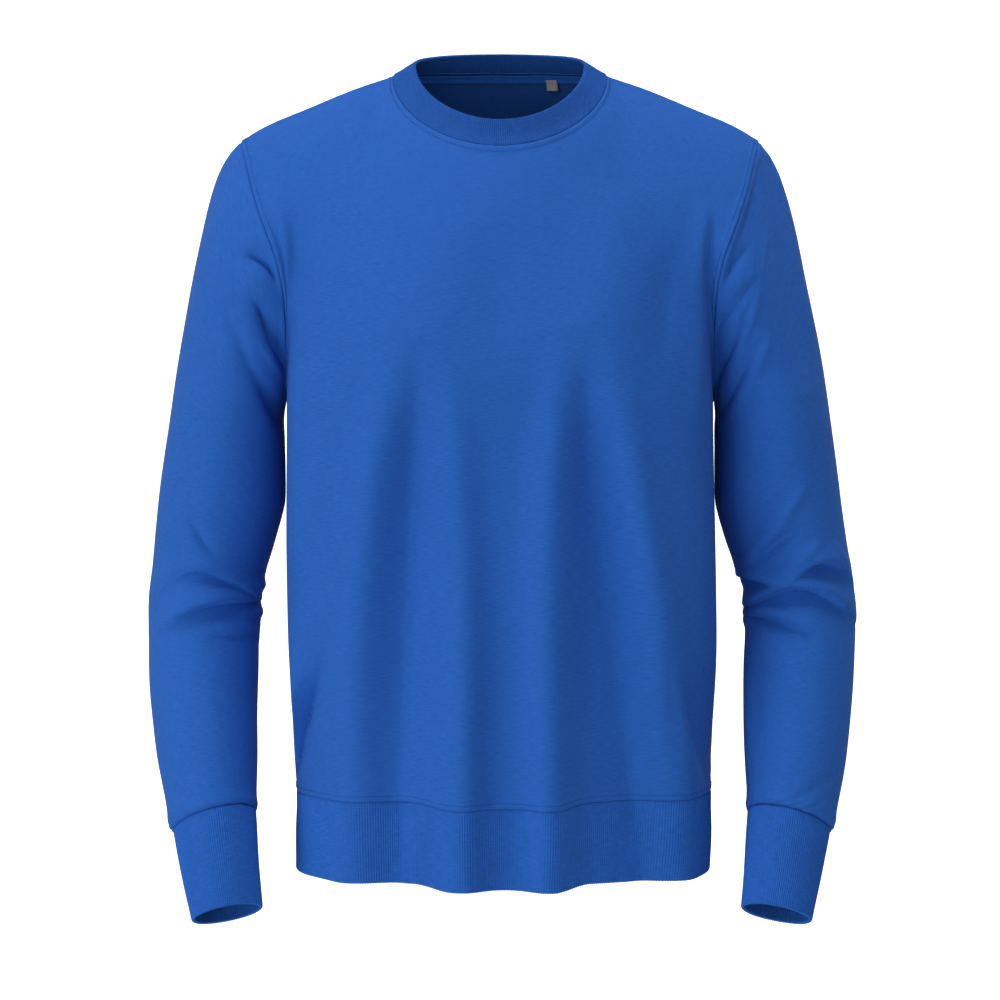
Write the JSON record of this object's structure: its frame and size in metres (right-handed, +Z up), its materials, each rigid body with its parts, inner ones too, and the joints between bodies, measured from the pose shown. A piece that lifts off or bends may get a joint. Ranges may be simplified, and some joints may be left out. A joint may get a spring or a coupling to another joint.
{
  "type": "crewneck sweatshirt",
  "caption": "Crewneck sweatshirt with set-in long sleeves, ribbed neck, cuffs and hem, filled out hollow with no wearer and arms at its sides.",
  "frame": {"origin": "centre of the neck's base, at the height of the neck points of the shoulders, where the wearer holds the garment up", "axes": "+Z up; -Y towards the front of the garment; +X towards the wearer's left arm, on the right seen from the front"},
  "size_m": [0.612, 0.2767, 0.7514],
  "materials": {
    "fleece": "matt fine jersey face of loopback fleece",
    "rib": "fine one-by-one rib knit",
    "tab": "plain woven grey, bare"
  },
  "bodies": {
    "root": {"front_panel": "fleece", "back_panel": "fleece", "sleeve_left": "fleece", "sleeve_right": "fleece", "neck_rib": "rib", "hem_rib": "rib", "cuff_left": "rib", "cuff_right": "rib", "neck_tape": "rib", "size_tab": "tab"}
  },
  "joints": []
}
